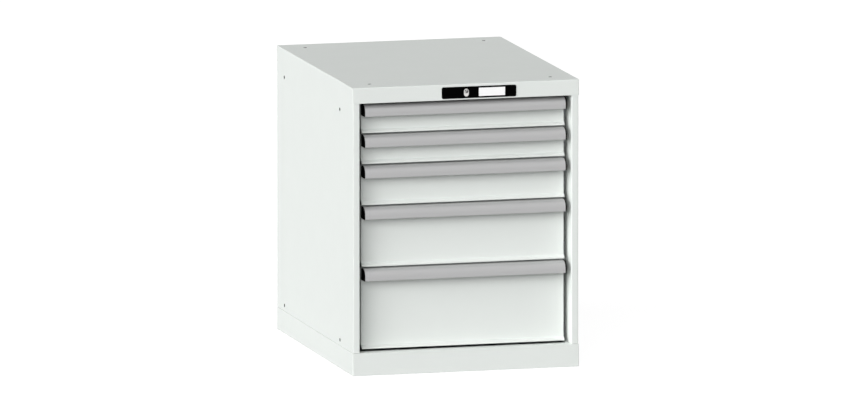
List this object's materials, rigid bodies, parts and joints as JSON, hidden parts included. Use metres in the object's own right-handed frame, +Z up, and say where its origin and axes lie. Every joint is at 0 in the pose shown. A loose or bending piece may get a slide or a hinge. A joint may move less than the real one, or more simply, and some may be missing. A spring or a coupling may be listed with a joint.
{
  "type": "multi-drawer cabinet",
  "caption": "Light-grey sheet-steel drawer cabinet on a plinth, with hood handles, full-extension roller runners and a central lock that drops a bar behind the drawers.",
  "frame": {"origin": "on the floor, under the middle of the housing", "axes": "+Z up, +X to the right of a person facing the front, -Y towards that person; drawers open along -Y"},
  "size_m": [0.564, 0.7282, 0.7],
  "materials": {
    "light_grey_paint": "fine matt powder coat",
    "anodised_aluminium": "natural anodised, matt",
    "black_plastic": "fine grain",
    "nickel": "nickel plated, satin",
    "white_card": "plain card",
    "zinc_steel": "zinc plated",
    "roller_steel": "turned steel"
  },
  "bodies": {
    "housing": {"top_cover": "light_grey_paint", "left_side_panel": "light_grey_paint", "right_side_panel": "light_grey_paint", "rear_panel": "light_grey_paint", "rear_screws": "zinc_steel", "base_frame": "light_grey_paint", "floor_panel": "light_grey_paint", "left_uprights": "light_grey_paint", "right_uprights": "light_grey_paint", "left_cabinet_rails": "zinc_steel", "right_cabinet_rails": "zinc_steel", "lock_plate": "black_plastic", "label_card": "white_card", "lock_barrel": "nickel", "bar_guides": "zinc_steel", "rod_bracket": "zinc_steel"},
    "lock": {"lock_plug": "nickel", "lock_rod": "zinc_steel"},
    "locking_bar": {"locking_bar": "zinc_steel"},
    "drawer_1": {"drawer_1_tray": "light_grey_paint", "drawer_1_front": "light_grey_paint", "drawer_1_handle": "anodised_aluminium", "drawer_1_end_caps": "black_plastic", "drawer_1_rails": "zinc_steel"},
    "carriage_1": {"drawer_1_carriages": "zinc_steel"},
    "front_rollers_1": {"drawer_1_front_rollers": "roller_steel"},
    "rear_rollers_1": {"drawer_1_rear_rollers": "roller_steel"},
    "drawer_2": {"drawer_2_tray": "light_grey_paint", "drawer_2_front": "light_grey_paint", "drawer_2_handle": "anodised_aluminium", "drawer_2_end_caps": "black_plastic", "drawer_2_rails": "zinc_steel"},
    "carriage_2": {"drawer_2_carriages": "zinc_steel"},
    "front_rollers_2": {"drawer_2_front_rollers": "roller_steel"},
    "rear_rollers_2": {"drawer_2_rear_rollers": "roller_steel"},
    "drawer_3": {"drawer_3_tray": "light_grey_paint", "drawer_3_front": "light_grey_paint", "drawer_3_handle": "anodised_aluminium", "drawer_3_end_caps": "black_plastic", "drawer_3_rails": "zinc_steel"},
    "carriage_3": {"drawer_3_carriages": "zinc_steel"},
    "front_rollers_3": {"drawer_3_front_rollers": "roller_steel"},
    "rear_rollers_3": {"drawer_3_rear_rollers": "roller_steel"},
    "drawer_4": {"drawer_4_tray": "light_grey_paint", "drawer_4_front": "light_grey_paint", "drawer_4_handle": "anodised_aluminium", "drawer_4_end_caps": "black_plastic", "drawer_4_rails": "zinc_steel"},
    "carriage_4": {"drawer_4_carriages": "zinc_steel"},
    "front_rollers_4": {"drawer_4_front_rollers": "roller_steel"},
    "rear_rollers_4": {"drawer_4_rear_rollers": "roller_steel"},
    "drawer_5": {"drawer_5_tray": "light_grey_paint", "drawer_5_front": "light_grey_paint", "drawer_5_handle": "anodised_aluminium", "drawer_5_end_caps": "black_plastic", "drawer_5_rails": "zinc_steel"},
    "carriage_5": {"drawer_5_carriages": "zinc_steel"},
    "front_rollers_5": {"drawer_5_front_rollers": "roller_steel"},
    "rear_rollers_5": {"drawer_5_rear_rollers": "roller_steel"}
  },
  "joints": [
    {"name": "lock_turn", "type": "hinge", "parent": "housing", "child": "lock", "pos_m": [0, 0, 0.6826], "axis": [0, 1, 0], "range_deg": [0, 91]},
    {"name": "locking_bar_slide", "type": "slide", "parent": "housing", "child": "locking_bar", "axis": [0, 0, -1], "range_m": [0, 0.01414]},
    {"name": "drawer_1_slide", "type": "slide", "parent": "housing", "child": "drawer_1", "axis": [0, -1, 0], "range_m": [0, 0.6]},
    {"name": "carriage_1_slide", "type": "slide", "parent": "housing", "child": "carriage_1", "axis": [0, -1, 0], "range_m": [0, 0.301]},
    {"name": "front_rollers_1_spin", "type": "hinge", "parent": "carriage_1", "child": "front_rollers_1", "pos_m": [0, -0.29, 0.6103], "axis": [1, 0, 0], "range_deg": [0, 1564]},
    {"name": "rear_rollers_1_spin", "type": "hinge", "parent": "carriage_1", "child": "rear_rollers_1", "pos_m": [0, 0.275, 0.6103], "axis": [1, 0, 0], "range_deg": [0, 1564]},
    {"name": "drawer_2_slide", "type": "slide", "parent": "housing", "child": "drawer_2", "axis": [0, -1, 0], "range_m": [0, 0.6]},
    {"name": "carriage_2_slide", "type": "slide", "parent": "housing", "child": "carriage_2", "axis": [0, -1, 0], "range_m": [0, 0.301]},
    {"name": "front_rollers_2_spin", "type": "hinge", "parent": "carriage_2", "child": "front_rollers_2", "pos_m": [0, -0.29, 0.5353], "axis": [1, 0, 0], "range_deg": [0, 1564]},
    {"name": "rear_rollers_2_spin", "type": "hinge", "parent": "carriage_2", "child": "rear_rollers_2", "pos_m": [0, 0.275, 0.5353], "axis": [1, 0, 0], "range_deg": [0, 1564]},
    {"name": "drawer_3_slide", "type": "slide", "parent": "housing", "child": "drawer_3", "axis": [0, -1, 0], "range_m": [0, 0.6]},
    {"name": "carriage_3_slide", "type": "slide", "parent": "housing", "child": "carriage_3", "axis": [0, -1, 0], "range_m": [0, 0.301]},
    {"name": "front_rollers_3_spin", "type": "hinge", "parent": "carriage_3", "child": "front_rollers_3", "pos_m": [0, -0.29, 0.4353], "axis": [1, 0, 0], "range_deg": [0, 1564]},
    {"name": "rear_rollers_3_spin", "type": "hinge", "parent": "carriage_3", "child": "rear_rollers_3", "pos_m": [0, 0.275, 0.4353], "axis": [1, 0, 0], "range_deg": [0, 1564]},
    {"name": "drawer_4_slide", "type": "slide", "parent": "housing", "child": "drawer_4", "axis": [0, -1, 0], "range_m": [0, 0.6]},
    {"name": "carriage_4_slide", "type": "slide", "parent": "housing", "child": "carriage_4", "axis": [0, -1, 0], "range_m": [0, 0.301]},
    {"name": "front_rollers_4_spin", "type": "hinge", "parent": "carriage_4", "child": "front_rollers_4", "pos_m": [0, -0.29, 0.2853], "axis": [1, 0, 0], "range_deg": [0, 1564]},
    {"name": "rear_rollers_4_spin", "type": "hinge", "parent": "carriage_4", "child": "rear_rollers_4", "pos_m": [0, 0.275, 0.2853], "axis": [1, 0, 0], "range_deg": [0, 1564]},
    {"name": "drawer_5_slide", "type": "slide", "parent": "housing", "child": "drawer_5", "axis": [0, -1, 0], "range_m": [0, 0.6]},
    {"name": "carriage_5_slide", "type": "slide", "parent": "housing", "child": "carriage_5", "axis": [0, -1, 0], "range_m": [0, 0.301]},
    {"name": "front_rollers_5_spin", "type": "hinge", "parent": "carriage_5", "child": "front_rollers_5", "pos_m": [0, -0.29, 0.0853], "axis": [1, 0, 0], "range_deg": [0, 1564]},
    {"name": "rear_rollers_5_spin", "type": "hinge", "parent": "carriage_5", "child": "rear_rollers_5", "pos_m": [0, 0.275, 0.0853], "axis": [1, 0, 0], "range_deg": [0, 1564]}
  ],
  "couplings": [
    {"joint": "lock_turn", "follows": "locking_bar_slide", "rad_per_m": 111.07},
    {"joint": "carriage_1_slide", "follows": "drawer_1_slide", "ratio": 0.5},
    {"joint": "front_rollers_1_spin", "follows": "drawer_1_slide", "rad_per_m": 45.455},
    {"joint": "rear_rollers_1_spin", "follows": "drawer_1_slide", "rad_per_m": 45.455},
    {"joint": "carriage_2_slide", "follows": "drawer_2_slide", "ratio": 0.5},
    {"joint": "front_rollers_2_spin", "follows": "drawer_2_slide", "rad_per_m": 45.455},
    {"joint": "rear_rollers_2_spin", "follows": "drawer_2_slide", "rad_per_m": 45.455},
    {"joint": "carriage_3_slide", "follows": "drawer_3_slide", "ratio": 0.5},
    {"joint": "front_rollers_3_spin", "follows": "drawer_3_slide", "rad_per_m": 45.455},
    {"joint": "rear_rollers_3_spin", "follows": "drawer_3_slide", "rad_per_m": 45.455},
    {"joint": "carriage_4_slide", "follows": "drawer_4_slide", "ratio": 0.5},
    {"joint": "front_rollers_4_spin", "follows": "drawer_4_slide", "rad_per_m": 45.455},
    {"joint": "rear_rollers_4_spin", "follows": "drawer_4_slide", "rad_per_m": 45.455},
    {"joint": "carriage_5_slide", "follows": "drawer_5_slide", "ratio": 0.5},
    {"joint": "front_rollers_5_spin", "follows": "drawer_5_slide", "rad_per_m": 45.455},
    {"joint": "rear_rollers_5_spin", "follows": "drawer_5_slide", "rad_per_m": 45.455}
  ]
}
